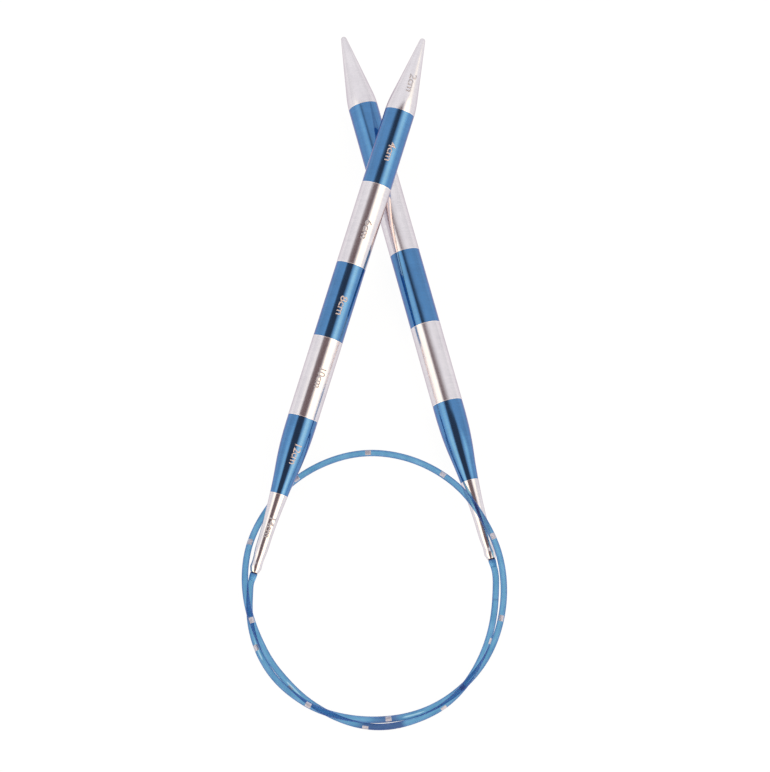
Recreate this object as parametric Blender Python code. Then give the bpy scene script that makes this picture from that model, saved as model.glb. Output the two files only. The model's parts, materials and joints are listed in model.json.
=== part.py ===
"""Circular knitting needle: two hollow aluminium needles joined by one flexible cable.

Frame: metres, +Z up. The surface it lies on is z = 0, the tips point roughly towards +Y,
and the front needle lies across the back one. Each needle is modelled along its own axis,
with local +Z from the cable to the point, and hangs on an empty at the place where the
cable flexes.
"""
import math

import bmesh
import bpy
import numpy as np
from mathutils import Vector

MM = 0.001

# Needle: distances along its axis are measured from the point.
NEEDLE_LENGTH = 140.0 * MM
SHAFT_RADIUS = 3.75 * MM
POINT_RADIUS = 0.735 * MM
CONE_HALF_ANGLE = math.radians(9.7)
SHOULDER_RADIUS = 26.0 * MM
TAIL = (  # outside of the tapered tail: (distance from the point, radius) in mm
    (102.0, 3.75), (105.0, 3.70), (108.0, 3.56), (112.0, 3.19), (116.0, 2.67), (120.0, 2.25),
    (124.0, 1.92), (128.0, 1.68), (131.5, 1.58), (135.0, 1.50), (138.0, 1.37), (139.4, 1.22),
)
TAIL_BORE = (  # inside of the tail, from the mouth inwards
    (138.9, 0.98), (136.0, 1.08), (131.0, 1.12), (127.0, 1.26), (123.0, 1.50), (119.0, 1.82),
    (115.0, 2.24), (111.0, 2.68), (107.0, 3.02), (103.0, 3.15),
)
POINT_BORE = ((22.0, 3.15), (17.0, 2.74), (9.0, 1.30), (8.2, 0.75))  # inside of the point
POINT_BORE_END = 8.0 * MM
MOUTH_RADIUS = 0.98 * MM
MOUTH_BORE = 0.62 * MM
LIP_DEPTH = 0.7 * MM

# Swivel joint: a headed pin turns in a bush behind the mouth and is fixed in the cable's collar.
BUSH_START = 130.6 * MM
BUSH_LENGTH = 4.0 * MM
BUSH_RADIUS = 0.90 * MM
BUSH_BORE = 0.60 * MM
PIN_HEAD_START = 128.8 * MM
PIN_HEAD_LENGTH = 1.4 * MM
PIN_HEAD_RADIUS = 0.86 * MM
PIN_RADIUS = 0.36 * MM
PIN_END = 141.3 * MM
COLLAR_START = 140.35 * MM
COLLAR_END = 142.0 * MM
COLLAR_RADIUS = 0.92 * MM
COLLAR_NECK_RADIUS = 0.75 * MM
COLLAR_BORE = 0.56 * MM
COLLAR_BORE_END = 141.55 * MM
EDGE = 0.15 * MM
FLEX_PLACE = 142.2 * MM   # where the cable bends, seen from the point
CABLE_START = 142.45 * MM

# Where the needles lie: the flex point, the heading clockwise from +Y, and the rise.
FRONT_FLEX = (-29.25 * MM, -70.24 * MM, 2.35 * MM)
FRONT_HEADING = math.radians(17.18)
FRONT_RISE = math.radians(5.0)
BACK_FLEX = (29.34 * MM, -67.20 * MM, 4.07 * MM)
BACK_HEADING = math.radians(-15.08)
BACK_RISE = math.radians(-0.15)

# Cable: the route's own points in mm, from the front needle's collar to the back one's.
CABLE_RADIUS = 0.75 * MM
CABLE_POINTS = 78
ROUTE = (
    (-29.60, -72.60, 1.80), (-29.71, -76.50, 1.00), (-28.91, -82.55, 0.80), (-26.21, -89.50, 0.80),
    (-22.51, -94.55, 1.35), (-18.16, -98.30, 2.20), (-13.36, -101.10, 2.65), (-7.51, -102.95, 2.70),
    (-0.96, -103.60, 1.60), (5.64, -103.15, 0.85), (13.59, -100.90, 0.80), (21.44, -95.80, 0.80),
    (27.14, -89.05, 0.90), (31.59, -74.70, 3.50), (29.64, -61.90, 6.85), (26.84, -56.10, 7.05),
    (22.84, -50.10, 6.60), (16.64, -44.20, 4.75), (7.89, -39.70, 2.60), (-2.26, -38.30, 1.15),
    (-12.26, -40.90, 0.82), (-20.91, -46.65, 0.80), (-26.66, -53.85, 0.87), (-29.66, -60.65, 1.80),
    (-30.71, -66.90, 3.05), (-30.61, -72.60, 3.45), (-29.46, -78.50, 3.00), (-27.16, -84.50, 2.45),
    (-24.36, -89.60, 1.40), (-20.81, -94.00, 0.80), (-16.41, -98.25, 0.80), (-9.81, -102.40, 0.80),
    (-2.76, -104.80, 0.80), (4.14, -105.10, 0.95), (10.79, -103.50, 1.70), (16.54, -100.70, 2.35),
    (25.99, -89.20, 2.85), (28.84, -80.70, 3.35), (29.74, -72.10, 3.90),
)

SHANK_SIDES = 48
SMALL_SIDES = 32
ARC_STEPS = 5


def clear_scene():
    for obj in list(bpy.data.objects):
        bpy.data.objects.remove(obj, do_unlink=True)


def material(name, color, roughness, metallic):
    mat = bpy.data.materials.new(name)
    mat.use_nodes = True
    shader = mat.node_tree.nodes["Principled BSDF"]
    shader.inputs["Base Color"].default_value = (*color, 1.0)
    shader.inputs["Roughness"].default_value = roughness
    shader.inputs["Metallic"].default_value = metallic
    return mat


def smooth_curve(points, start_direction, end_direction, count):
    """Even points on the cubic spline through points, with its end directions given."""
    knots = np.array(points, dtype=float)
    steps = np.linalg.norm(np.diff(knots, axis=0), axis=1)
    slopes = np.diff(knots, axis=0) / steps[:, None]
    size = len(knots)
    matrix = np.zeros((size, size))
    target = np.zeros((size, knots.shape[1]))
    matrix[0, :2] = 2 * steps[0], steps[0]
    target[0] = 6 * (slopes[0] - np.array(start_direction))
    matrix[-1, -2:] = steps[-1], 2 * steps[-1]
    target[-1] = 6 * (np.array(end_direction) - slopes[-1])
    for i in range(1, size - 1):
        matrix[i, i - 1:i + 2] = steps[i - 1], 2 * (steps[i - 1] + steps[i]), steps[i]
        target[i] = 6 * (slopes[i] - slopes[i - 1])
    bend = np.linalg.solve(matrix, target)
    ends = np.concatenate([[0.0], np.cumsum(steps)])
    places = np.linspace(0.0, ends[-1], count)
    result = []
    for place in places:
        i = min(int(np.searchsorted(ends, place, side="right")) - 1, size - 2)
        after = (ends[i + 1] - place) / steps[i]
        before = 1.0 - after
        pull = ((after ** 3 - after) * bend[i] + (before ** 3 - before) * bend[i + 1]) * steps[i] ** 2 / 6
        result.append(after * knots[i] + before * knots[i + 1] + pull)
    return result


def arc(center, radius, start, end, steps):
    """Points (distance, radius) on an arc, with angles measured from the needle's axis."""
    angles = [start + (end - start) * i / steps for i in range(steps + 1)]
    return [(center[0] - radius * math.cos(a), center[1] + radius * math.sin(a)) for a in angles]


def in_metres(points):
    return [(distance * MM, radius * MM) for distance, radius in points]


def shank_outline():
    """The needle's closed outline: outside from the point to the mouth, then back inside."""
    tangent = math.pi / 2 - CONE_HALF_ANGLE
    point = arc((POINT_RADIUS, 0.0), POINT_RADIUS, 0.0, tangent, ARC_STEPS)
    touch = point[-1]
    corner = touch[0] + (SHAFT_RADIUS - touch[1]) / math.tan(CONE_HALF_ANGLE)
    shoulder_end = corner + SHOULDER_RADIUS * math.tan(CONE_HALF_ANGLE / 2)
    center = (shoulder_end, SHAFT_RADIUS - SHOULDER_RADIUS)
    shoulder = arc(center, SHOULDER_RADIUS, tangent, math.pi / 2, ARC_STEPS)
    mouth = [(NEEDLE_LENGTH, MOUTH_RADIUS), (NEEDLE_LENGTH, MOUTH_BORE)]
    lip = [(NEEDLE_LENGTH - LIP_DEPTH, MOUTH_BORE)]
    inside = in_metres(TAIL_BORE + POINT_BORE) + [(POINT_BORE_END, 0.0)]
    return point + shoulder + in_metres(TAIL) + mouth + lip + inside


def bush_outline():
    end = BUSH_START + BUSH_LENGTH
    return [
        (BUSH_START, BUSH_BORE), (BUSH_START, BUSH_RADIUS - EDGE), (BUSH_START + EDGE, BUSH_RADIUS),
        (end - EDGE, BUSH_RADIUS), (end, BUSH_RADIUS - EDGE), (end, BUSH_BORE),
    ]


def pin_outline():
    head_end = PIN_HEAD_START + PIN_HEAD_LENGTH
    return [
        (PIN_HEAD_START, 0.0), (PIN_HEAD_START, PIN_HEAD_RADIUS - 2 * EDGE),
        (PIN_HEAD_START + 2 * EDGE, PIN_HEAD_RADIUS), (head_end, PIN_HEAD_RADIUS),
        (head_end, PIN_RADIUS), (PIN_END - EDGE, PIN_RADIUS), (PIN_END, PIN_RADIUS - EDGE), (PIN_END, 0.0),
    ]


def collar_outline():
    return [
        (COLLAR_BORE_END, 0.0), (COLLAR_BORE_END, COLLAR_BORE), (COLLAR_START, COLLAR_BORE),
        (COLLAR_START, COLLAR_RADIUS), (COLLAR_START + 2 * EDGE, COLLAR_RADIUS),
        (COLLAR_END - EDGE, COLLAR_NECK_RADIUS), (COLLAR_END, COLLAR_NECK_RADIUS - EDGE),
        (COLLAR_END, 0.0),
    ]


def turned(name, outline, sides, closed_ring, parent, mat):
    """A solid of revolution about the needle's axis; outline is (distance from the point, radius)."""
    bm = bmesh.new()
    rings = []
    for distance, radius in outline:
        height = FLEX_PLACE - distance
        if radius == 0.0:
            rings.append([bm.verts.new((0.0, 0.0, height))])
            continue
        angles = [2 * math.pi * i / sides for i in range(sides)]
        rings.append([bm.verts.new((radius * math.cos(a), radius * math.sin(a), height)) for a in angles])
    pairs = list(zip(rings, rings[1:]))
    if closed_ring:
        pairs.append((rings[-1], rings[0]))
    for upper, lower in pairs:
        for i in range(sides):
            j = (i + 1) % sides
            corners = [upper[i % len(upper)], lower[i % len(lower)], lower[j % len(lower)], upper[j % len(upper)]]
            bm.faces.new(dict.fromkeys(corners))
    bmesh.ops.recalc_face_normals(bm, faces=bm.faces)
    mesh = bpy.data.meshes.new(name)
    bm.to_mesh(mesh)
    bm.free()
    mesh.shade_smooth()
    mesh.set_sharp_from_angle(angle=math.radians(35))
    mesh.materials.append(mat)
    obj = bpy.data.objects.new(name, mesh)
    bpy.context.collection.objects.link(obj)
    obj.parent = parent
    return obj


def heading_vector(heading, rise):
    """The direction from the cable to the point."""
    flat = math.cos(rise)
    return Vector((math.sin(heading) * flat, math.cos(heading) * flat, math.sin(rise)))


def flex_empty(name, place, direction):
    empty = bpy.data.objects.new(name, None)
    empty.empty_display_size = 5 * MM
    empty.rotation_mode = "QUATERNION"
    empty.rotation_quaternion = direction.to_track_quat("Z", "Y")
    empty.location = place
    bpy.context.collection.objects.link(empty)
    return empty


def needle(side, place, direction, metal, steel, brass, plastic):
    """One needle with its swivel joint, on an empty at its flex point."""
    empty = flex_empty(side + "_flex", place, direction)
    turned(side + "_needle_shank", shank_outline(), SHANK_SIDES, False, empty, metal)
    turned(side + "_swivel_bush", bush_outline(), SMALL_SIDES, True, empty, brass)
    turned(side + "_swivel_pin", pin_outline(), SMALL_SIDES, False, empty, steel)
    turned(side + "_cable_collar", collar_outline(), SMALL_SIDES, False, empty, plastic)


def cable(front_direction, back_direction, mat):
    """The flexible cable, from one collar to the other along its route."""
    reach = CABLE_START - FLEX_PLACE
    start = Vector(FRONT_FLEX) - front_direction * reach
    end = Vector(BACK_FLEX) - back_direction * reach
    route = [tuple(start)] + [tuple(c * MM for c in point) for point in ROUTE] + [tuple(end)]
    points = smooth_curve(route, -front_direction, back_direction, CABLE_POINTS)
    curve = bpy.data.curves.new("cable", "CURVE")
    curve.dimensions = "3D"
    curve.bevel_depth = CABLE_RADIUS
    curve.bevel_resolution = 2
    curve.use_fill_caps = True
    spline = curve.splines.new("POLY")
    spline.points.add(len(points) - 1)
    for target, point in zip(spline.points, points):
        target.co = (*point, 1.0)
    curve.materials.append(mat)
    obj = bpy.data.objects.new("cable", curve)
    bpy.context.collection.objects.link(obj)


def build():
    clear_scene()
    metal = material("anodised_aluminium", (0.08, 0.24, 0.48), 0.25, 1.0)
    steel = material("steel", (0.55, 0.55, 0.57), 0.3, 1.0)
    brass = material("brass", (0.70, 0.52, 0.24), 0.35, 1.0)
    plastic = material("blue_plastic", (0.12, 0.36, 0.62), 0.35, 0.0)
    front = heading_vector(FRONT_HEADING, FRONT_RISE)
    back = heading_vector(BACK_HEADING, BACK_RISE)
    needle("front", FRONT_FLEX, front, metal, steel, brass, plastic)
    needle("back", BACK_FLEX, back, metal, steel, brass, plastic)
    cable(front, back, plastic)


build()
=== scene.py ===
import json
import math

import bmesh
import bpy
import numpy as np
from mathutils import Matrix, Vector


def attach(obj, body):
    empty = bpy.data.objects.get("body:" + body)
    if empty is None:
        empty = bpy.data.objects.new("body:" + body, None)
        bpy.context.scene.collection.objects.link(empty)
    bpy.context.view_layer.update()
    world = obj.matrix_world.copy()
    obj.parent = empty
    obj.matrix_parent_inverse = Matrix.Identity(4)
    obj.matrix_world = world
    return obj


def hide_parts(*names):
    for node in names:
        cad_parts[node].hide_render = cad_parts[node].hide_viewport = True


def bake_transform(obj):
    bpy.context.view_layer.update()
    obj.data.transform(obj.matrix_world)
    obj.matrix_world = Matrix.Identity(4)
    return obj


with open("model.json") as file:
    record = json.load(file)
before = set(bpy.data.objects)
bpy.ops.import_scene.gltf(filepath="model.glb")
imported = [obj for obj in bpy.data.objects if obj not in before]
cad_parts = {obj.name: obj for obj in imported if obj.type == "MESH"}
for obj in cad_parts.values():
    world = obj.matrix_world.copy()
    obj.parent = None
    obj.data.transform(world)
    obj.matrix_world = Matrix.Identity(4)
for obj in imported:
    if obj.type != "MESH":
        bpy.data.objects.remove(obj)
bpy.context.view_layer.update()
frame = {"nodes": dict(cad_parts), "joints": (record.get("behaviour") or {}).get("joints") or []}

MM = 0.001
SIDES = ("front", "back")

# Camera: the place on the surface that it looks at, its height above the horizon as an angle,
# its distance, and its lens.
TARGET = (3.03, -20.93, 0.0)
ELEVATION = math.radians(75.5)
CAMERA_DISTANCE = 618.8
FOCAL_LENGTH = 116.8831
SENSOR_WIDTH = 36.0

# Needle: distances along its axis are measured from the point, in mm.
NEEDLE_LENGTH = 140.0
FLEX_PLACE = 142.2
SHAFT_RADIUS = 3.75
POINT_RADIUS = 0.735
CONE_HALF_ANGLE = math.radians(9.7)
SHOULDER_RADIUS = 26.0
SHARP_ANGLE = math.radians(35)
TAIL = (
    (102.0, 3.75), (105.0, 3.70), (108.0, 3.56), (112.0, 3.19), (116.0, 2.67), (120.0, 2.25),
    (124.0, 1.92), (128.0, 1.68), (131.5, 1.58), (135.0, 1.50), (138.0, 1.37), (139.4, 1.22),
)
TAIL_BORE = (
    (139.3, 0.62), (139.2, 0.90), (138.9, 0.98), (136.0, 1.08), (131.0, 1.12), (127.0, 1.26),
    (123.0, 1.50), (119.0, 1.82), (115.0, 2.24), (111.0, 2.68), (107.0, 3.02), (103.0, 3.15),
)
POINT_BORE = ((22.0, 3.15), (17.0, 2.74), (9.0, 1.30), (8.2, 0.75), (8.0, 0.0))
MOUTH_RADIUS = 0.62
LIP = ((139.7, 1.13), (139.9, 1.06), (140.0, 0.98))
TAIL_STEPS = 60
POINT_STEPS = 14
SHOULDER_STEPS = 16
EXTRA_RINGS = tuple(5.0 + 2.5 * i for i in range(54))
BAND_ENDS = {
    "front": (20.05, 39.85, 60.85, 80.25, 100.55, 120.25),
    "back": (19.8, 39.6, 60.0, 79.6, 99.9, 120.3),
}
BAND_LINE = 0.16
SHANK_SIDES = 128

# Which of a shank's materials a span has.
SILVER, BLUE, BARE, BORE = range(4)

# Collar: its outline as distance, radius and what the span that follows is made of, with a near-black
# ring in front that is painted shade for the shadowed gap at the mouth, two fine grooves and a slim
# neck. Then where its shading starts and ends.
PLASTIC, MOUTH_GAP_SHADE = range(2)
COLLAR_OUTLINE = (
    (141.55, 0.0, PLASTIC), (141.55, 0.56, PLASTIC), (140.30, 0.56, MOUTH_GAP_SHADE),
    (140.07, 0.56, MOUTH_GAP_SHADE), (140.07, 0.86, MOUTH_GAP_SHADE), (140.30, 0.86, PLASTIC),
    (140.32, 0.88, PLASTIC), (140.38, 0.92, PLASTIC), (140.78, 0.92, PLASTIC),
    (140.83, 0.885, PLASTIC), (140.90, 0.885, PLASTIC), (140.95, 0.915, PLASTIC),
    (141.15, 0.90, PLASTIC), (141.20, 0.865, PLASTIC), (141.27, 0.862, PLASTIC),
    (141.32, 0.875, PLASTIC), (141.60, 0.85, PLASTIC), (141.85, 0.825, PLASTIC),
    (141.98, 0.805, PLASTIC), (142.0, 0.74, PLASTIC), (142.0, 0.0, PLASTIC),
)
COLLAR_FADE = (140.3, 142.0)
COLLAR_SIDES = 64

# Centimetre scale on the front needle: label, how far its middle is from the point, its turn in
# degrees from the top to the right, and what it is marked in.
SCALE = (
    ("2cm", 12.6, 16, "point"), ("4cm", 31.2, 16, "blue"), ("6cm", 51.7, 18, "silver"),
    ("8cm", 71.7, 16, "blue"), ("10cm", 90.25, 21, "silver"), ("12cm", 109.85, 21, "blue"),
    ("14cm", 128.55, 14, "silver"),
)
TEXT_SIZE = 2.6
TEXT_LENGTH = 4.9
TEXT_WEIGHTS = {"point": 0.04, "silver": 0.05, "blue": 0.02}
TEXT_SPACING = 0.93
TEXT_PROUD = 0.012
TEXT_DEPTH = 0.03
TEXT_CUTS = tuple(0.125 * i for i in range(-8, 9))

# Cable: the drawn tube is a little thicker than the solid one. ROUTE holds the points that its
# middle line passes through, from the front needle's collar to the back one's.
CABLE_RADIUS = 0.79
CABLE_SIDES = 28
CABLE_STEP = 0.5
CABLE_GAP = 0.2
COLLAR_GRIP = 0.3
END_LENGTH = 4.0
ROUTE_STEPS = 4000
ROUTE = (
    (-29.60, -72.60, 1.80), (-29.71, -76.50, 1.00), (-28.91, -82.55, 0.80), (-26.21, -89.50, 0.80),
    (-22.51, -94.55, 1.35), (-18.16, -98.30, 2.20), (-13.36, -101.10, 2.65), (-7.51, -102.95, 2.70),
    (-0.96, -103.60, 1.60), (5.64, -103.15, 0.85), (13.59, -100.90, 0.80), (21.44, -95.80, 0.80),
    (27.14, -89.05, 0.90), (31.59, -74.70, 3.50), (29.64, -61.90, 6.85), (26.84, -56.10, 7.05),
    (22.84, -50.10, 6.60), (16.64, -44.20, 4.75), (7.89, -39.70, 2.60), (-2.26, -38.30, 1.15),
    (-12.26, -40.90, 0.82), (-20.91, -46.65, 0.80), (-26.66, -53.85, 0.87), (-29.66, -60.65, 1.80),
    (-30.71, -66.90, 3.05), (-30.61, -72.60, 3.45), (-29.46, -78.50, 3.00), (-27.16, -84.50, 2.45),
    (-24.36, -89.60, 1.40), (-20.81, -94.00, 0.80), (-16.41, -98.25, 0.80), (-9.81, -102.40, 0.80),
    (-2.76, -104.80, 0.80), (4.14, -105.10, 0.95), (10.79, -103.50, 1.70), (16.54, -100.70, 2.35),
    (25.99, -89.20, 2.85), (28.84, -80.70, 3.35), (29.74, -72.10, 3.90),
)

# Printed marks: about every sixteenth of the length from mouth to mouth, each with its own small
# shift in mm and its turn about the cable, in degrees from the top towards the outside of the
# loop, because the cable twists.
MARKS = (
    (-1.0, 20), (-1.25, 12), (-1.15, 0), (-1.0, 180), (-1.2, 0), (-0.75, 10), (-0.5, 0), (0.0, 0),
    (-0.5, 0), (-0.25, 8), (-0.25, 0), (-1.0, 62), (-0.25, 55), (-0.4, 62), (-0.5, 70),
)
MARK_SHARE = 1 / 16
MARK_LENGTH = 1.47
MARK_HALF_ANGLE = math.radians(49)
MARK_PROUD = 0.014
MARK_DEPTH = 0.03
MARK_ROWS = 14
MARK_COLUMNS = 10
MARK_STRAIGHT = 0.8
MARK_ROUNDING = 0.14

# The tube's painted shade: darker stretches where its two laps run side by side at the bottom of the
# loop, each with the number of the mark beside it, its start and end in mm from that mark, its tint,
# and the mm over which it fades in. Then the seam line, near the end of the run.
PAINTED_SHADE_STRETCHES = (
    (3, -5.0, 2.7, (0.76, 0.71, 0.80), 3.5), (13, -1.9, 8.6, (0.64, 0.60, 0.70), 1.0),
)
PAINTED_SHADE_END_FADE = 0.2
RUN_SPAN = 320.0
SEAM_RUN = 301.65
SEAM_WIDTH = 0.35
SEAM_TINT = (0.84, 0.84, 0.88)


def needle_frame(side):
    """Where a needle lies: its flex point, its axis towards the point, and its top and right."""
    joint = next(j for j in frame["joints"] if j["name"] == side + "_needle_spin")
    axis = Vector(joint["axis"]).normalized()
    right = axis.cross(Vector((0, 0, 1))).normalized()
    flex = Vector(joint["pos_m"])
    return {"flex": flex, "axis": axis, "right": right, "top": right.cross(axis)}


NEEDLES = {side: needle_frame(side) for side in SIDES}


def on_needle(needle, distance, radius, turn):
    """A point of a needle: mm from the point, mm from the axis, and the turn from its top."""
    outwards = math.cos(turn) * needle["top"] + math.sin(turn) * needle["right"]
    return needle["flex"] + (FLEX_PLACE - distance) * MM * needle["axis"] + radius * MM * outwards


# ---------------------------------------------------------------- meshes

def make_object(name, vertices, faces, materials, indices=None, uvs=None):
    """A smooth-shaded object that is linked to the scene."""
    mesh = bpy.data.meshes.new(name)
    mesh.from_pydata([tuple(v) for v in vertices], [], faces)
    for mat in materials:
        mesh.materials.append(mat)
    if indices is not None:
        mesh.polygons.foreach_set("material_index", indices)
    if uvs is not None:
        layer = mesh.uv_layers.new(name="UVMap")
        layer.data.foreach_set("uv", np.array(uvs, dtype=float).ravel())
    mesh.shade_smooth()
    mesh.set_sharp_from_angle(angle=SHARP_ANGLE)
    mesh.update()
    obj = bpy.data.objects.new(name, mesh)
    bpy.context.collection.objects.link(obj)
    return obj


def lathe(name, needle, outline, sides, materials):
    """A turned piece. outline is (distance, radius, material of the span that follows)."""
    vertices = []
    rings = []
    for distance, radius, _ in outline:
        count = 1 if radius == 0.0 else sides
        rings.append([len(vertices) + i for i in range(count)])
        vertices += [on_needle(needle, distance, radius, 2 * math.pi * i / sides) for i in range(count)]
    faces, indices, uvs = [], [], []
    for k in range(len(outline) - 1):
        first, second = rings[k], rings[k + 1]
        here, there = outline[k][0], outline[k + 1][0]
        for i in range(sides):
            corners = (
                (first[i % len(first)], here, i), (first[(i + 1) % len(first)], here, i + 1),
                (second[(i + 1) % len(second)], there, i + 1), (second[i % len(second)], there, i),
            )
            kept = list({c[0]: c for c in corners}.values())
            faces.append([c[0] for c in kept])
            indices.append(outline[k][2])
            uvs += [(c[1], c[2] / sides) for c in kept]
    obj = make_object(name, vertices, faces, materials, indices, uvs)
    point_outwards(obj)
    return obj


def point_outwards(obj):
    """Turns a closed piece's faces outwards."""
    bm = bmesh.new()
    bm.from_mesh(obj.data)
    bmesh.ops.recalc_face_normals(bm, faces=bm.faces)
    bm.to_mesh(obj.data)
    bm.free()


def arc(center, radius, start, end, steps):
    """Points (distance, radius) on an arc, with angles measured from the needle's axis."""
    angles = [start + (end - start) * i / steps for i in range(steps + 1)]
    return [(center[0] - radius * math.cos(a), center[1] + radius * math.sin(a)) for a in angles]


def spline(points, start_slope, end_slope, count):
    """Even points on the cubic spline through points, with its end directions given."""
    knots = np.array(points, dtype=float)
    steps = np.linalg.norm(np.diff(knots, axis=0), axis=1)
    slopes = np.diff(knots, axis=0) / steps[:, None]
    size = len(knots)
    matrix = np.zeros((size, size))
    target = np.zeros((size, knots.shape[1]))
    matrix[0, :2] = 2 * steps[0], steps[0]
    target[0] = 6 * (slopes[0] - np.array(start_slope))
    matrix[-1, -2:] = steps[-1], 2 * steps[-1]
    target[-1] = 6 * (np.array(end_slope) - slopes[-1])
    for i in range(1, size - 1):
        matrix[i, i - 1:i + 2] = steps[i - 1], 2 * (steps[i - 1] + steps[i]), steps[i]
        target[i] = 6 * (slopes[i] - slopes[i - 1])
    bend = np.linalg.solve(matrix, target)
    ends = np.concatenate([[0.0], np.cumsum(steps)])
    places = np.linspace(0.0, ends[-1], count)
    i = np.clip(np.searchsorted(ends, places, side="right") - 1, 0, size - 2)
    after = ((ends[i + 1] - places) / steps[i])[:, None]
    before = 1.0 - after
    pull = (after ** 3 - after) * bend[i] + (before ** 3 - before) * bend[i + 1]
    return after * knots[i] + before * knots[i + 1] + pull * (steps[i] ** 2 / 6)[:, None]


# ---------------------------------------------------------------- materials

def new_material(name):
    """A new material, its node tree and its shader."""
    mat = bpy.data.materials.new(name)
    mat.use_nodes = True
    return mat, mat.node_tree, mat.node_tree.nodes["Principled BSDF"]


def stretched_noise(tree, along, around, detail=2.0):
    """Noise on the piece's own coordinates: along is per mm of length, around per turn."""
    place = tree.nodes.new("ShaderNodeTexCoord")
    mapping = tree.nodes.new("ShaderNodeMapping")
    mapping.inputs["Scale"].default_value = (along, around, 1.0)
    noise = tree.nodes.new("ShaderNodeTexNoise")
    noise.inputs["Scale"].default_value = 1.0
    noise.inputs["Detail"].default_value = detail
    tree.links.new(place.outputs["UV"], mapping.inputs["Vector"])
    tree.links.new(mapping.outputs["Vector"], noise.inputs["Vector"])
    return noise.outputs["Fac"]


def grain(tree, per_mm, detail=2.0):
    """Even noise through the piece, with per_mm blobs to the mm."""
    place = tree.nodes.new("ShaderNodeTexCoord")
    noise = tree.nodes.new("ShaderNodeTexNoise")
    noise.inputs["Scale"].default_value = per_mm / MM
    noise.inputs["Detail"].default_value = detail
    tree.links.new(place.outputs["Object"], noise.inputs["Vector"])
    return noise.outputs["Fac"]


def ramp(tree, value, stops):
    """The colour at value on a ramp with its stops at (position, colour)."""
    node = tree.nodes.new("ShaderNodeValToRGB")
    elements = node.color_ramp.elements
    while len(elements) < len(stops):
        elements.new(1.0)
    for element, (position, color) in zip(elements, stops):
        element.position = position
        element.color = (*color, 1.0)
    tree.links.new(value, node.inputs["Fac"])
    return node.outputs["Color"]


def between(tree, value, low, high):
    """value, which is about 0.3 to 0.7 as noise is, mapped to low to high."""
    node = tree.nodes.new("ShaderNodeMapRange")
    node.inputs["From Min"].default_value = 0.3
    node.inputs["From Max"].default_value = 0.7
    node.inputs["To Min"].default_value = low
    node.inputs["To Max"].default_value = high
    tree.links.new(value, node.inputs["Value"])
    return node.outputs["Result"]


def combined(tree, first, second, operation="ADD"):
    """Two values added, or combined by another operation."""
    node = tree.nodes.new("ShaderNodeMath")
    node.operation = operation
    tree.links.new(first, node.inputs[0])
    tree.links.new(second, node.inputs[1])
    return node.outputs[0]


def tinted(tree, first, second):
    """The product of two colours."""
    node = tree.nodes.new("ShaderNodeVectorMath")
    node.operation = "MULTIPLY"
    tree.links.new(first, node.inputs[0])
    tree.links.new(second, node.inputs[1])
    return node.outputs["Vector"]


def bump(tree, shader, height, strength, depth):
    """Fine relief, depth mm high."""
    node = tree.nodes.new("ShaderNodeBump")
    node.inputs["Strength"].default_value = strength
    node.inputs["Distance"].default_value = depth * MM
    tree.links.new(height, node.inputs["Height"])
    tree.links.new(node.outputs["Normal"], shader.inputs["Normal"])


# Darker and lighter tint, tint at a grazing angle, roughness, coat, and how high the grain is.
METALS = {
    "silver_anodised": (
        (0.68, 0.645, 0.69), (0.80, 0.765, 0.80), (0.70, 0.64, 0.69), (0.14, 0.22), 0.0, 0.004),
    "blue_anodised": (
        (0.040, 0.165, 0.38), (0.060, 0.225, 0.50), (0.06, 0.14, 0.42), (0.10, 0.17), 1.0, 0.002),
    "bare_aluminium": (
        (0.80, 0.72, 0.72), (0.95, 0.88, 0.87), (0.8, 0.75, 0.75), (0.25, 0.4), 0.0, 0.006),
    "drilled_bore": (
        (0.25, 0.24, 0.25), (0.38, 0.37, 0.38), (0.4, 0.4, 0.4), (0.35, 0.5), 0.0, 0.01),
    "steel_pin": (
        (0.42, 0.42, 0.43), (0.60, 0.59, 0.59), (0.6, 0.6, 0.6), (0.22, 0.34), 0.0, 0.004),
    "brass_bush": (
        (0.56, 0.38, 0.13), (0.78, 0.58, 0.28), (0.8, 0.7, 0.5), (0.25, 0.38), 0.0, 0.004),
}


def polished_metal(name):
    """A turned and polished metal: fine rings round the axis, a fine grain, and its tint."""
    dark, light, edge, roughness, coat, grain_depth = METALS[name]
    mat, tree, shader = new_material(name)
    lines = stretched_noise(tree, 7.0, 3.0, detail=3.0)
    speckle = grain(tree, 5.0)
    mottle = grain(tree, 0.25, detail=3.0)
    total = combined(tree, combined(tree, lines, mottle), speckle)
    mean = tree.nodes.new("ShaderNodeMath")
    mean.operation = "MULTIPLY"
    mean.inputs[1].default_value = 1 / 3
    tree.links.new(total, mean.inputs[0])
    color = ramp(tree, mean.outputs[0], ((0.38, dark), (0.62, light)))
    tree.links.new(color, shader.inputs["Base Color"])
    tree.links.new(between(tree, lines, *roughness), shader.inputs["Roughness"])
    bump(tree, shader, combined(tree, lines, speckle), 0.35, grain_depth)
    shader.inputs["Metallic"].default_value = 1.0
    shader.inputs["Specular Tint"].default_value = (*edge, 1.0)
    shader.inputs["Coat Weight"].default_value = coat
    shader.inputs["Coat Roughness"].default_value = 0.06
    return mat


def engraving(name, dark, light):
    """Matt laser-marked metal of the scale."""
    mat, tree, shader = new_material(name)
    color = ramp(tree, grain(tree, 9.0), ((0.35, dark), (0.65, light)))
    tree.links.new(color, shader.inputs["Base Color"])
    tree.links.new(between(tree, grain(tree, 6.0), 0.45, 0.7), shader.inputs["Roughness"])
    bump(tree, shader, grain(tree, 14.0), 0.5, 0.01)
    shader.inputs["Metallic"].default_value = 0.6
    return mat


def share_of_run(tree, start, end):
    """How far along its length a place on a piece is: 0 at start, 1 at end, both in mm."""
    place = tree.nodes.new("ShaderNodeTexCoord")
    split = tree.nodes.new("ShaderNodeSeparateXYZ")
    share = tree.nodes.new("ShaderNodeMapRange")
    share.inputs["From Min"].default_value = start
    share.inputs["From Max"].default_value = end
    tree.links.new(place.outputs["UV"], split.inputs["Vector"])
    tree.links.new(split.outputs["X"], share.inputs["Value"])
    return share.outputs["Result"]


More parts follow.
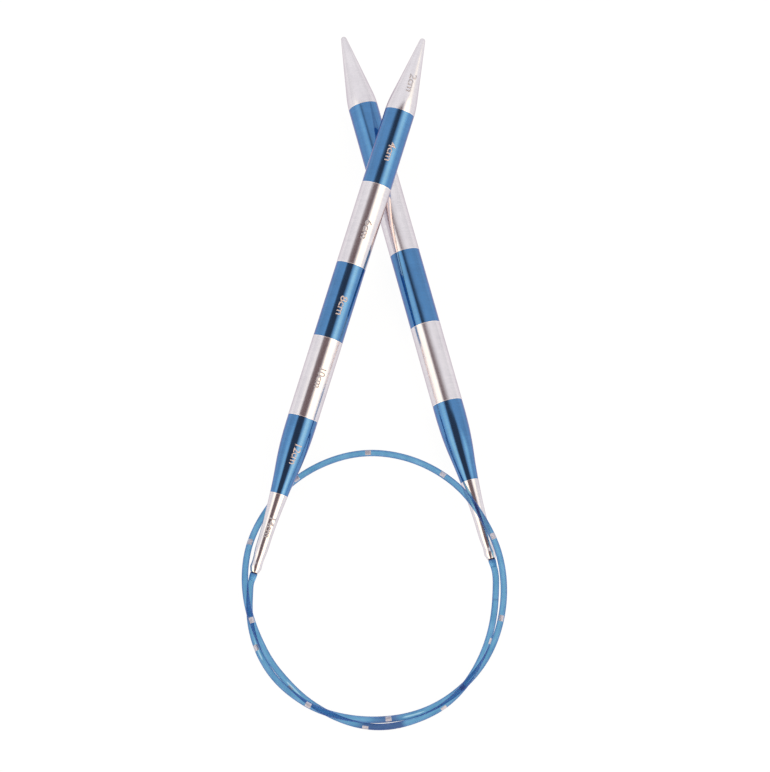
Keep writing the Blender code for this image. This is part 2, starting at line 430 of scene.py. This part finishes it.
def stretches(tree):
    """The tint along the tube: clear, but for its darker stretches of painted shade and the seam near
    one end.

    A ramp over the whole run is too coarse for the seam, which has a short one of its own.
    """
    white = (1.0, 1.0, 1.0)
    stops = []
    # Painted shade where the two laps run side by side.
    for number, start, end, tint, fade in PAINTED_SHADE_STRETCHES:
        middle = mark_place(number)
        stops += [(middle + start, white), (middle + start + fade, tint)]
        stops += [(middle + end, tint), (middle + end + PAINTED_SHADE_END_FADE, white)]
    run_stops = [(run / RUN_SPAN, tint) for run, tint in stops]
    dark = ramp(tree, share_of_run(tree, 0.0, RUN_SPAN), run_stops)
    beside = share_of_run(tree, SEAM_RUN - 5 * SEAM_WIDTH, SEAM_RUN + 5 * SEAM_WIDTH)
    seam = ramp(tree, beside, ((0.40, white), (0.48, SEAM_TINT), (0.52, SEAM_TINT), (0.60, white)))
    return tinted(tree, dark, seam)


def cable_plastic():
    """Clear blue plastic with fine lengthwise lines and a light line just inside each edge."""
    mat, tree, shader = new_material("cable_plastic")
    lines = stretched_noise(tree, 0.05, 30.0, detail=3.0)
    cloud = stretched_noise(tree, 0.25, 2.0)
    mixed = combined(tree, lines, cloud, "MULTIPLY")
    glow = ramp(tree, mixed, ((0.15, (0.33, 0.60, 0.74)), (0.35, (0.48, 0.735, 0.86))))
    facing = tree.nodes.new("ShaderNodeLayerWeight")
    facing.inputs["Blend"].default_value = 0.28
    rim = ramp(tree, facing.outputs["Facing"], (
        (0.0, (0.98, 0.98, 0.98)), (0.16, (0.93, 0.94, 0.97)),
        (0.26, (1.0, 1.0, 1.0)), (0.37, (0.60, 0.68, 0.84))))
    clear = tree.nodes.new("ShaderNodeBsdfTransparent")
    tint = tinted(tree, glow, stretches(tree))
    tree.links.new(tinted(tree, tint, rim), clear.inputs["Color"])
    cloudy = ramp(tree, mixed, ((0.15, (0.75, 0.72, 0.86)), (0.35, (1.0, 1.0, 1.0))))
    body = ramp(tree, facing.outputs["Facing"], (
        (0.0, (0.17, 0.14, 0.56)), (0.5, (0.06, 0.20, 0.50))))
    tree.links.new(tinted(tree, cloudy, body), shader.inputs["Base Color"])
    tree.links.new(between(tree, lines, 0.18, 0.3), shader.inputs["Roughness"])
    bump(tree, shader, lines, 0.4, 0.02)
    amount = tree.nodes.new("ShaderNodeMapRange")
    amount.inputs["To Min"].default_value = 0.10
    amount.inputs["To Max"].default_value = 0.85
    tree.links.new(facing.outputs["Facing"], amount.inputs["Value"])
    mix = tree.nodes.new("ShaderNodeMixShader")
    tree.links.new(amount.outputs["Result"], mix.inputs["Fac"])
    tree.links.new(clear.outputs["BSDF"], mix.inputs[1])
    tree.links.new(shader.outputs["BSDF"], mix.inputs[2])
    tree.links.new(mix.outputs["Shader"], tree.nodes["Material Output"].inputs["Surface"])
    return mat


def collar_plastic():
    """The cable's plastic: darker towards the mouth, where the pin shows, and lighter on its end face,
    which is painted light against the shade of the tube round it.
    """
    mat, tree, shader = new_material("collar_plastic")
    lines = stretched_noise(tree, 8.0, 6.0, detail=3.0)
    tone = ramp(tree, lines, ((0.35, (0.84, 0.87, 0.90)), (0.65, (1.0, 1.0, 1.0))))
    # The last stop is painted light: it lightens the end face inside the tube, where shade falls.
    fade = ramp(tree, share_of_run(tree, *COLLAR_FADE), (
        (0.0, (0.045, 0.13, 0.40)), (0.32, (0.09, 0.30, 0.62)), (0.65, (0.115, 0.365, 0.70)),
        (0.98, (0.115, 0.365, 0.70)), (1.0, (0.45, 0.78, 0.95))))
    tree.links.new(tinted(tree, tone, fade), shader.inputs["Base Color"])
    tree.links.new(between(tree, grain(tree, 8.0), 0.25, 0.4), shader.inputs["Roughness"])
    bump(tree, shader, lines, 0.3, 0.02)
    shader.inputs["Specular IOR Level"].default_value = 0.3
    return mat


def mouth_gap_shade():
    """Painted shade: the near-black ring for the shadowed gap between a needle's mouth and the collar.
    """
    mat, tree, shader = new_material("mouth_gap_painted_shade")
    color = ramp(tree, grain(tree, 7.0), (
        (0.35, (0.010, 0.016, 0.045)), (0.65, (0.020, 0.030, 0.075))))
    tree.links.new(color, shader.inputs["Base Color"])
    tree.links.new(between(tree, grain(tree, 5.0), 0.4, 0.6), shader.inputs["Roughness"])
    bump(tree, shader, grain(tree, 10.0), 0.4, 0.02)
    shader.inputs["Specular IOR Level"].default_value = 0.25
    return mat


def mark_ink():
    """Silver ink that follows the cable's fine lines, so that it breaks into two or three bars."""
    mat, tree, shader = new_material("mark_ink")
    bars = stretched_noise(tree, 0.3, 9.0)
    speckle = grain(tree, 12.0)
    tone = combined(tree, bars, speckle, "MULTIPLY")
    color = ramp(tree, tone, ((0.16, (0.305, 0.31, 0.40)), (0.30, (0.535, 0.56, 0.70))))
    tree.links.new(color, shader.inputs["Base Color"])
    tree.links.new(between(tree, speckle, 0.4, 0.6), shader.inputs["Roughness"])
    bump(tree, shader, bars, 0.4, 0.02)
    shader.inputs["Metallic"].default_value = 0.15
    return mat


# ---------------------------------------------------------------- needles

def smooth_tail():
    """The tail's outside as a smooth line."""
    points = spline(TAIL, (1.0, 0.0), (0.7, -0.7), TAIL_STEPS)
    return [(float(distance), float(radius)) for distance, radius in points]


def outside():
    """The needle's outside from its point to the lip of the mouth."""
    tangent = math.pi / 2 - CONE_HALF_ANGLE
    point = arc((POINT_RADIUS, 0.0), POINT_RADIUS, 0.0, tangent, POINT_STEPS)
    point[0] = (0.0, 0.0)
    touch = point[-1]
    corner = touch[0] + (SHAFT_RADIUS - touch[1]) / math.tan(CONE_HALF_ANGLE)
    shoulder_end = corner + SHOULDER_RADIUS * math.tan(CONE_HALF_ANGLE / 2)
    center = (shoulder_end, SHAFT_RADIUS - SHOULDER_RADIUS)
    shoulder = arc(center, SHOULDER_RADIUS, tangent, math.pi / 2, SHOULDER_STEPS)
    return point + shoulder + smooth_tail() + list(LIP)


def with_bands(line, ends):
    """line cut at the band ends: distance, radius and what the span that follows is made of."""
    distances = [p[0] for p in line]
    radii = [p[1] for p in line]
    cuts = []
    for end in ends:
        cuts += [end - BAND_LINE / 2, end + BAND_LINE / 2]
    places = sorted({*distances, *cuts, *EXTRA_RINGS})
    result = []
    for place in places:
        radius = float(np.interp(place, distances, radii))
        band = sum(place >= end + BAND_LINE / 2 - 1e-6 for end in ends)
        in_line = any(abs(place - (end - BAND_LINE / 2)) < 1e-6 for end in ends)
        result.append((place, radius, BARE if in_line else (SILVER, BLUE)[band % 2]))
    return result


def shank(side, materials):
    """A needle's banded shank with its hollow, which starts at the mouth."""
    outline = with_bands(outside(), BAND_ENDS[side])
    hollow = ((NEEDLE_LENGTH, MOUTH_RADIUS),) + TAIL_BORE + POINT_BORE
    outline += [(distance, radius, BORE) for distance, radius in hollow]
    piece = lathe(side + "_shank", NEEDLES[side], outline, SHANK_SIDES, materials)
    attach(piece, side + "_needle")
    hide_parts(side + "_needle_shank")


def collar(side, materials):
    """The collar at a needle's mouth, with its near-black ring of painted shade in the gap."""
    piece = lathe(side + "_collar", NEEDLES[side], COLLAR_OUTLINE, COLLAR_SIDES, materials)
    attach(piece, side + "_joint")
    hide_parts(side + "_cable_collar")


# ---------------------------------------------------------------- scale

def text_mesh(label, weight):
    """A flat mesh of the label, centred, in mm, x along the text."""
    curve = bpy.data.curves.new("label", "FONT")
    curve.body = label
    curve.size = TEXT_SIZE
    curve.align_x = "CENTER"
    curve.align_y = "CENTER"
    curve.resolution_u = 4
    curve.offset = weight
    curve.space_character = TEXT_SPACING
    holder = bpy.data.objects.new("label", curve)
    bpy.context.collection.objects.link(holder)
    evaluated = holder.evaluated_get(bpy.context.evaluated_depsgraph_get())
    mesh = bpy.data.meshes.new_from_object(evaluated)
    bpy.data.objects.remove(holder)
    places = [v.co.x for v in mesh.vertices]
    stretch = TEXT_LENGTH / (max(places) - min(places))
    for v in mesh.vertices:
        v.co.x *= stretch
    return mesh


def thick_label(label, weight):
    """The flat label, cut in strips so that it can bend, and given its thickness."""
    bm = bmesh.new()
    bm.from_mesh(text_mesh(label, weight))
    bmesh.ops.remove_doubles(bm, verts=bm.verts, dist=1e-5)
    for cut in TEXT_CUTS:
        geometry = bm.verts[:] + bm.edges[:] + bm.faces[:]
        bmesh.ops.bisect_plane(bm, geom=geometry, plane_co=(0, cut, 0), plane_no=(0, 1, 0))
    for v in bm.verts:
        v.co.z = TEXT_PROUD
    skin = bmesh.ops.extrude_face_region(bm, geom=bm.faces[:])
    for v in skin["geom"]:
        if isinstance(v, bmesh.types.BMVert):
            v.co.z = -TEXT_DEPTH
    return bm


def label_piece(label, middle, text_turn, weight, mat):
    """The label as a thin raised skin on the needle, read from the point towards the cable."""
    bm = thick_label(label, weight)
    line = outside()
    distances = [p[0] for p in line]
    radii = [p[1] for p in line]
    for v in bm.verts:
        distance = middle + v.co.x
        surface = float(np.interp(distance, distances, radii))
        turn = math.radians(text_turn) + v.co.y / surface
        v.co = on_needle(NEEDLES["front"], distance, surface + v.co.z, turn)
    bmesh.ops.recalc_face_normals(bm, faces=bm.faces)
    mesh = bpy.data.meshes.new("scale_" + label)
    bm.to_mesh(mesh)
    bm.free()
    mesh.materials.append(mat)
    piece = bpy.data.objects.new("scale_" + label, mesh)
    bpy.context.collection.objects.link(piece)
    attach(piece, "front_needle")


def scale():
    """The seven labels, each in the ink of the band that it is on."""
    inks = {
        "point": engraving("scale_on_point", (0.45, 0.44, 0.49), (0.58, 0.565, 0.615)),
        "silver": engraving("scale_on_silver", (0.37, 0.37, 0.42), (0.51, 0.50, 0.57)),
        "blue": engraving("scale_on_blue", (0.55, 0.47, 0.47), (0.71, 0.62, 0.62)),
    }
    for label, middle, turn, ink in SCALE:
        label_piece(label, middle, turn, TEXT_WEIGHTS[ink], inks[ink])


# ---------------------------------------------------------------- cable

def cable_line():
    """Even points down the middle of the cable, in mm, and how far along it each one is."""
    front, back = NEEDLES["front"], NEEDLES["back"]
    start = front["flex"] - CABLE_GAP * MM * front["axis"]
    end = back["flex"] - CABLE_GAP * MM * back["axis"]
    route = [tuple(start / MM)] + list(ROUTE) + [tuple(end / MM)]
    fine = spline(route, tuple(-front["axis"]), tuple(back["axis"]), ROUTE_STEPS)
    grip = CABLE_GAP * 2 + COLLAR_GRIP
    first = np.array(start / MM + grip * front["axis"])
    last = np.array(end / MM + grip * back["axis"])
    fine = np.vstack([first, fine, last])
    run = np.concatenate([[0.0], np.cumsum(np.linalg.norm(np.diff(fine, axis=0), axis=1))])
    count = int(round(run[-1] / CABLE_STEP)) + 1
    even = np.linspace(0.0, run[-1], count)
    points = np.stack([np.interp(even, run, fine[:, k]) for k in range(3)], axis=1)
    return points, even


CABLE_POINTS, CABLE_RUN = cable_line()
COLLAR_DEPTH = FLEX_PLACE + CABLE_GAP - NEEDLE_LENGTH - CABLE_GAP * 2 - COLLAR_GRIP
MOUTH_TO_MOUTH = CABLE_RUN[-1] + 2 * COLLAR_DEPTH


def cable_frames():
    """Unit up and outward directions at every point of the cable's line."""
    tangents = np.gradient(CABLE_POINTS, axis=0)
    tangents /= np.linalg.norm(tangents, axis=1)[:, None]
    outwards = np.cross(tangents, np.array((0.0, 0.0, 1.0)))
    outwards /= np.linalg.norm(outwards, axis=1)[:, None]
    ups = np.cross(outwards, tangents)
    return ups, outwards


CABLE_UPS, CABLE_OUTS = cable_frames()


def on_cable(run, radius, turn):
    """A point of the cable: mm from its start, mm from its middle, turn from the top outwards."""
    def at(rows):
        return np.array([np.interp(run, CABLE_RUN, rows[:, k]) for k in range(3)])
    outwards = math.cos(turn) * at(CABLE_UPS) + math.sin(turn) * at(CABLE_OUTS)
    return (at(CABLE_POINTS) + radius * outwards / np.linalg.norm(outwards)) * MM


def cable_piece(name, first, last, mat):
    """The tube round the line's points first to last."""
    turns = [2 * math.pi * i / CABLE_SIDES for i in range(CABLE_SIDES)]
    vertices, faces, uvs = [], [], []
    for k in range(first, last + 1):
        for turn in turns:
            outwards = math.cos(turn) * CABLE_UPS[k] + math.sin(turn) * CABLE_OUTS[k]
            vertices.append((CABLE_POINTS[k] + CABLE_RADIUS * outwards) * MM)
    for k in range(last - first):
        for i in range(CABLE_SIDES):
            j = (i + 1) % CABLE_SIDES
            low, high = k * CABLE_SIDES, (k + 1) * CABLE_SIDES
            faces.append((low + i, low + j, high + j, high + i))
            here, there = CABLE_RUN[first + k], CABLE_RUN[first + k + 1]
            v, w = i / CABLE_SIDES, (i + 1) / CABLE_SIDES
            uvs += [(here, v), (here, w), (there, w), (there, v)]
    piece = make_object(name, vertices, faces, [mat], uvs=uvs)
    point_outwards(piece)
    return piece


def mark_place(number):
    """The run along the cable at the middle of a mark."""
    return MOUTH_TO_MOUTH * MARK_SHARE * number - COLLAR_DEPTH + MARKS[number - 1][0]


def skin_faces():
    """Faces of a mark: its outer and inner grids of points, one after the other, and its rim."""
    row = MARK_COLUMNS + 1
    size = (MARK_ROWS + 1) * row
    faces = []
    for i in range(MARK_ROWS):
        for j in range(MARK_COLUMNS):
            a = i * row + j
            b = a + row
            faces.append((a, a + 1, b + 1, b))
            faces.append((a + size, b + size, b + 1 + size, a + 1 + size))
    rim = list(range(row))
    rim += [(i + 1) * row + MARK_COLUMNS for i in range(MARK_ROWS)]
    rim += [MARK_ROWS * row + j for j in range(MARK_COLUMNS - 1, -1, -1)]
    rim += [i * row for i in range(MARK_ROWS - 1, 0, -1)]
    for a, b in zip(rim, rim[1:] + rim[:1]):
        faces.append((b, a, a + size, b + size))
    return faces


def mark(number, turn, mat):
    """One printed mark: a thin skin on the cable with rounded corners."""
    middle = mark_place(number)
    places = []
    for radius in (CABLE_RADIUS + MARK_PROUD, CABLE_RADIUS - MARK_DEPTH):
        for i in range(MARK_ROWS + 1):
            across = 2 * i / MARK_ROWS - 1
            corner = max(0.0, (abs(across) - MARK_STRAIGHT) / (1 - MARK_STRAIGHT))
            half = MARK_LENGTH / 2 * (1 - MARK_ROUNDING * (1 - math.sqrt(1 - corner ** 2)))
            for j in range(MARK_COLUMNS + 1):
                along = 2 * j / MARK_COLUMNS - 1
                angle = math.radians(turn) + across * MARK_HALF_ANGLE
                places.append((middle + along * half, radius, angle))
    vertices = [on_cable(*place) for place in places]
    faces = skin_faces()
    uvs = [(places[v][0], places[v][2] / (2 * math.pi)) for face in faces for v in face]
    piece = make_object(f"cable_mark_{number:02d}", vertices, faces, [mat], uvs=uvs)
    point_outwards(piece)
    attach(piece, "cable")
    return piece


def cable():
    """The cable, its two end pieces and its printed marks."""
    plastic = cable_plastic()
    steps = int(round(END_LENGTH / CABLE_STEP))
    last = len(CABLE_POINTS) - 1
    tube = cable_piece("cable_tube", steps, last - steps, plastic)
    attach(tube, "cable")
    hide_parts("cable")
    for side, free_place, held_place in (("front", steps, 0), ("back", last - steps, last)):
        first, final = sorted((free_place, held_place))
        end = cable_piece(side + "_cable_end", first, final, plastic)
        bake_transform(end)
    ink = mark_ink()
    marks = [mark(i + 1, turn, ink) for i, (_, turn) in enumerate(MARKS)]


# ---------------------------------------------------------------- stage

TABLE_HALF_WIDTH = 3000.0
TABLE_GLOW = 1.03
TABLE_GLOW_SHARE = 0.92


def camera():
    """The camera, from the loop's side and nearly overhead."""
    data = bpy.data.cameras.new("camera")
    data.sensor_fit = "HORIZONTAL"
    data.sensor_width = SENSOR_WIDTH
    data.lens = FOCAL_LENGTH
    data.clip_start = 0.01
    data.clip_end = 20.0
    obj = bpy.data.objects.new("camera", data)
    bpy.context.collection.objects.link(obj)
    back = Vector((0.0, -math.cos(ELEVATION), math.sin(ELEVATION)))
    obj.location = (Vector(TARGET) + CAMERA_DISTANCE * back) * MM
    obj.rotation_euler = (math.pi / 2 - ELEVATION, 0.0, 0.0)
    bpy.context.scene.camera = obj


def floor():
    """A plain pale table that is lit from below as well, as for a catalogue picture."""
    half = TABLE_HALF_WIDTH * MM
    corners = [(-half, -half, 0.0), (half, -half, 0.0), (half, half, 0.0), (-half, half, 0.0)]
    mat, tree, shader = new_material("pale_table")
    color = ramp(tree, grain(tree, 0.02), ((0.3, (0.93, 0.93, 0.93)), (0.7, (0.95, 0.95, 0.95))))
    tree.links.new(color, shader.inputs["Base Color"])
    shader.inputs["Roughness"].default_value = 0.9
    shader.inputs["Specular IOR Level"].default_value = 0.0
    glow = tree.nodes.new("ShaderNodeEmission")
    glow.inputs["Color"].default_value = (1.0, 1.0, 1.0, 1.0)
    glow.inputs["Strength"].default_value = TABLE_GLOW
    mix = tree.nodes.new("ShaderNodeMixShader")
    mix.inputs["Fac"].default_value = TABLE_GLOW_SHARE
    tree.links.new(shader.outputs["BSDF"], mix.inputs[1])
    tree.links.new(glow.outputs["Emission"], mix.inputs[2])
    tree.links.new(mix.outputs["Shader"], tree.nodes["Material Output"].inputs["Surface"])
    obj = make_object("table_top", corners, [(0, 1, 2, 3)], [mat])


# Surroundings by the angle from overhead, in degrees, + to the right: close is what stands
# behind the camera, near is what stands overhead and far is what stands beyond the points. Each
# changes into the next between two angles, in degrees, of lean towards the points.
GAP_COLOR = (0.19, 0.132, 0.132)
CLOSE_LIGHTS = (
    (-180, (0.9, 0.9, 0.9)), (-110, (0.82, 0.82, 0.82)), (-86, (1.05, 1.05, 1.05)),
    (-70, (1.6, 1.5, 1.3)), (-56, (2.6, 2.15, 1.5)), (-43, (2.7, 2.2, 1.55)),
    (-35, (1.6, 1.5, 1.3)), (-27, GAP_COLOR), (15, GAP_COLOR), (22, (0.76, 0.74, 0.74)),
    (33, (2.1, 1.8, 1.4)), (45, (3.5, 2.5, 1.7)), (58, (3.1, 2.3, 1.6)),
    (71, (1.7, 1.6, 1.35)), (85, (1.05, 1.05, 1.04)), (101, (0.84, 0.84, 0.84)),
    (135, (0.78, 0.78, 0.78)), (180, (0.9, 0.9, 0.9)),
)
NEAR_LIGHTS = (
    (-180, (0.9, 0.9, 0.9)), (-110, (0.80, 0.80, 0.80)), (-82, (0.93, 0.93, 0.93)),
    (-66, (1.05, 1.05, 1.05)), (-52, (1.3, 1.3, 1.2)), (-40, (1.4, 1.38, 1.25)),
    (-32, (1.0, 1.0, 1.0)), (-24, GAP_COLOR), (15, GAP_COLOR), (22, (0.68, 0.67, 0.67)),
    (33, (1.25, 1.2, 1.14)), (45, (1.95, 1.84, 1.47)), (58, (1.85, 1.75, 1.41)),
    (71, (1.3, 1.28, 1.18)), (85, (1.03, 1.03, 1.02)), (101, (0.84, 0.84, 0.84)),
    (135, (0.78, 0.78, 0.78)), (180, (0.9, 0.9, 0.9)),
)
FAR_LIGHTS = (
    (-180, (0.9, 0.9, 0.9)), (-110, (0.85, 0.85, 0.85)), (-60, (0.97, 0.97, 0.97)),
    (-30, (1.02, 1.02, 1.02)), (12, (0.97, 0.97, 0.97)), (28, (1.0, 1.0, 1.0)),
    (48, (0.95, 0.95, 0.95)), (110, (0.85, 0.85, 0.85)), (180, (0.9, 0.9, 0.9)),
)
CLOSE_CHANGE = (-12.0, 12.0)
FAR_CHANGE = (13.0, 18.0)


def blended_by_depth(tree, depth, first, second, change):
    """first below the change's two angles towards the points, second above, and a blend between."""
    share = tree.nodes.new("ShaderNodeMapRange")
    share.inputs["From Min"].default_value = math.sin(math.radians(change[0]))
    share.inputs["From Max"].default_value = math.sin(math.radians(change[1]))
    tree.links.new(depth, share.inputs["Value"])
    mix = tree.nodes.new("ShaderNodeMix")
    mix.data_type = "RGBA"
    tree.links.new(share.outputs["Result"], mix.inputs[0])
    tree.links.new(first, mix.inputs[6])
    tree.links.new(second, mix.inputs[7])
    return mix.outputs[2]


def studio():
    """Soft white surroundings with lamps on both sides of a dark gap overhead."""
    world = bpy.data.worlds.new("studio")
    world.use_nodes = True
    tree = world.node_tree
    place = tree.nodes.new("ShaderNodeTexCoord")
    split = tree.nodes.new("ShaderNodeSeparateXYZ")
    angle = tree.nodes.new("ShaderNodeMath")
    angle.operation = "ARCTAN2"
    share = tree.nodes.new("ShaderNodeMapRange")
    share.inputs["From Min"].default_value = -math.pi
    share.inputs["From Max"].default_value = math.pi
    tree.links.new(place.outputs["Generated"], split.inputs["Vector"])
    tree.links.new(split.outputs["X"], angle.inputs[0])
    tree.links.new(split.outputs["Z"], angle.inputs[1])
    tree.links.new(angle.outputs[0], share.inputs["Value"])
    close, near, far = [
        ramp(tree, share.outputs["Result"], [((turn + 180) / 360, level) for turn, level in lights])
        for lights in (CLOSE_LIGHTS, NEAR_LIGHTS, FAR_LIGHTS)]
    light = blended_by_depth(tree, split.outputs["Y"], close, near, CLOSE_CHANGE)
    light = blended_by_depth(tree, split.outputs["Y"], light, far, FAR_CHANGE)
    tree.links.new(light, tree.nodes["Background"].inputs["Color"])
    bpy.context.scene.world = world
    bpy.context.scene.view_settings.view_transform = "Standard"


def dress_small_parts():
    """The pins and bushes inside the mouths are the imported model's own, in better metals."""
    pin_metal = polished_metal("steel_pin")
    bush_metal = polished_metal("brass_bush")
    for side in SIDES:
        for node, mat in ((side + "_swivel_pin", pin_metal), (side + "_swivel_bush", bush_metal)):
            slots = frame["nodes"][node].data.materials
            slots.clear()
            slots.append(mat)


def build():
    """Everything, in the order in which the pieces are made."""
    camera()
    cable()
    shank_metals = ("silver_anodised", "blue_anodised", "bare_aluminium", "drilled_bore")
    shank_materials = [polished_metal(name) for name in shank_metals]
    # The second material is painted shade for the gap at each needle's mouth.
    collar_materials = [collar_plastic(), mouth_gap_shade()]
    for side in SIDES:
        shank(side, shank_materials)
        collar(side, collar_materials)
    scale()
    dress_small_parts()
    floor()
    studio()


build()
